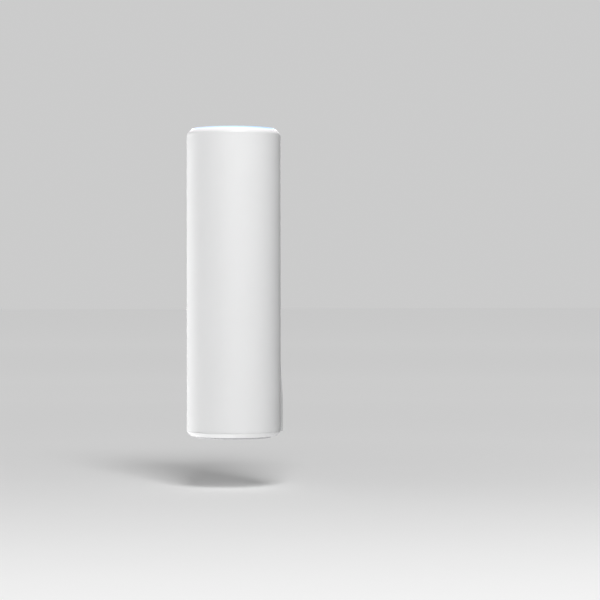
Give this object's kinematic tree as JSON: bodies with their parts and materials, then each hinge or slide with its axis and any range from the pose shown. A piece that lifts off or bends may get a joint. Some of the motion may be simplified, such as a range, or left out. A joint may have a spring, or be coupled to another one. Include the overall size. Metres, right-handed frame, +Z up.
{
  "type": "mesh wifi node",
  "caption": "Slim upright cylindrical mesh wifi node with a lit top rim, held on a small slide-on wall bracket.",
  "frame": {"origin": "on the wall, at the centre of the wall bracket's pattern of screw holes", "axes": "+Z up, along the cylinder; +Y into the wall; the front faces -Y; +X to the right seen from the front"},
  "size_m": [0.0485, 0.049, 0.1594],
  "materials": {
    "shell_plastic": "fine satin moulding texture",
    "bracket_plastic": "fine moulding texture",
    "dish_plastic": "fine satin moulding texture",
    "light_diffuser": "milky translucent, lit from inside",
    "grey_moulding": "fine moulding texture",
    "foot_rubber": "soft matt, light grey",
    "seal_rubber": "soft matt",
    "screw_steel": "zinc plated",
    "dark_moulding": "fine moulding texture",
    "green_board": "solder mask",
    "white_board": "white solder mask",
    "led_package": "lit phosphor",
    "cream_connector": "moulded",
    "flat_cable": "laminated film",
    "chip_epoxy": "moulded epoxy",
    "ferrite": "sintered",
    "can_tinplate": "tin plated",
    "thermal_silicone": "soft matt",
    "sink_aluminium": "extruded",
    "jack_plastic": "moulded",
    "contact_gold": "gold plated",
    "capacitor_sleeve": "shrunk sleeve",
    "switch_body": "moulded",
    "button_red": "moulded",
    "antenna_metal": "stamped sheet",
    "coax_jacket": "smooth jacket"
  },
  "bodies": {
    "bracket": {"wall_bracket": "bracket_plastic"},
    "unit": {"casing_sleeve": "shell_plastic", "rail_channel": "grey_moulding", "channel_screws": "screw_steel", "light_ring": "light_diffuser", "top_dish": "dish_plastic", "top_seal": "seal_rubber", "led_board": "white_board", "led_chips": "led_package", "led_connector": "cream_connector", "led_board_screws": "screw_steel", "led_ribbon": "flat_cable", "bulkhead": "dark_moulding", "chassis": "dark_moulding", "chassis_screws": "screw_steel", "frame_screws": "screw_steel", "main_board": "green_board", "ribbon_connector": "cream_connector", "processor": "chip_epoxy", "memory_chips": "chip_epoxy", "radio_chips": "chip_epoxy", "power_inductors": "ferrite", "shield_can_lower": "can_tinplate", "shield_can_upper": "can_tinplate", "thermal_pads": "thermal_silicone", "heatsink": "sink_aluminium", "heatsink_screws": "screw_steel", "jack_shield": "can_tinplate", "jack_housing": "jack_plastic", "jack_contacts": "contact_gold", "network_transformer": "chip_epoxy", "power_transformer": "ferrite", "capacitors": "capacitor_sleeve", "reset_switch": "switch_body", "antenna_carrier": "grey_moulding", "antenna_5g_1": "antenna_metal", "antenna_5g_2": "antenna_metal", "antenna_5g_3": "antenna_metal", "antenna_5g_4": "antenna_metal", "antenna_2g_left": "antenna_metal", "antenna_2g_right": "antenna_metal", "coax_1": "coax_jacket", "coax_2": "coax_jacket", "coax_3": "coax_jacket", "coax_4": "coax_jacket", "coax_connectors": "contact_gold"},
    "base": {"base_cover": "shell_plastic", "foot_ring": "foot_rubber", "cable_plug": "foot_rubber"},
    "reset": {"reset_button": "button_red"}
  },
  "joints": [
    {"name": "unit_lift", "type": "slide", "parent": "bracket", "child": "unit", "axis": [0, 0, 1], "range_m": [0, 0.045]},
    {"name": "base_pull", "type": "slide", "parent": "unit", "child": "base", "axis": [0, 0, -1], "range_m": [0, 0.02]},
    {"name": "reset_press", "type": "slide", "parent": "unit", "child": "reset", "axis": [0, 0, 1], "range_m": [0, 0.0006], "stiffness_N_per_m": 500, "springref_m": -0.0005}
  ]
}
